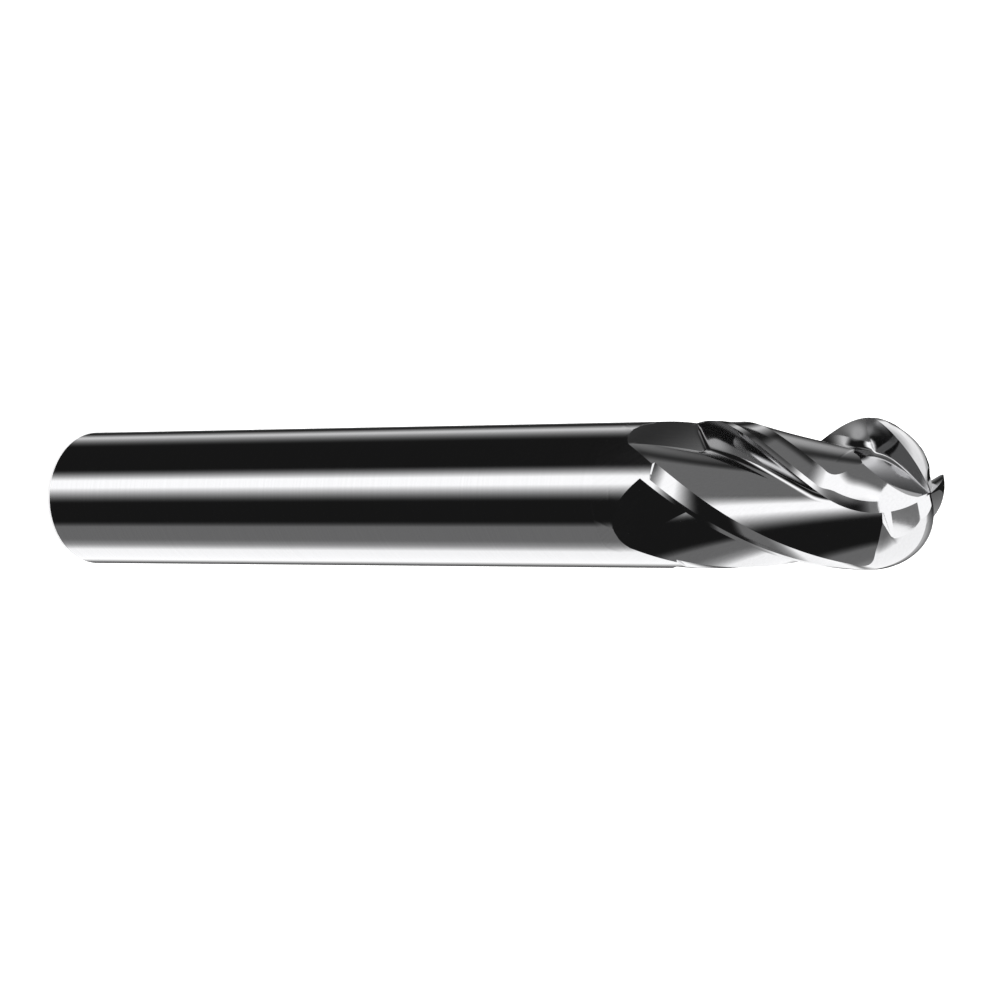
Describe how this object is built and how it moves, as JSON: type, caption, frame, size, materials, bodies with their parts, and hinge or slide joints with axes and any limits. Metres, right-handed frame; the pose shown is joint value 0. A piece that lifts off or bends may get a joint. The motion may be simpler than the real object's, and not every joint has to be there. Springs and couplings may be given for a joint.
{
  "type": "ball nose end mill",
  "caption": "Ball-nose milling cutter: a plain round shank that runs at full diameter into a short helical-fluted head ending in a hemisphere.",
  "frame": {"origin": "centre of the flat end face of the shank, at the bottom of the tool", "axes": "+Z runs along the tool's axis from the shank end to the ball nose"},
  "size_m": [0.0126, 0.0126, 0.1016],
  "materials": {
    "shank_carbide": "centreless-ground and polished bright cemented carbide",
    "head_carbide": "bright fine-ground cemented carbide, uncoated"
  },
  "bodies": {
    "root": {"shank": "shank_carbide", "fluted_head": "head_carbide"}
  },
  "joints": []
}
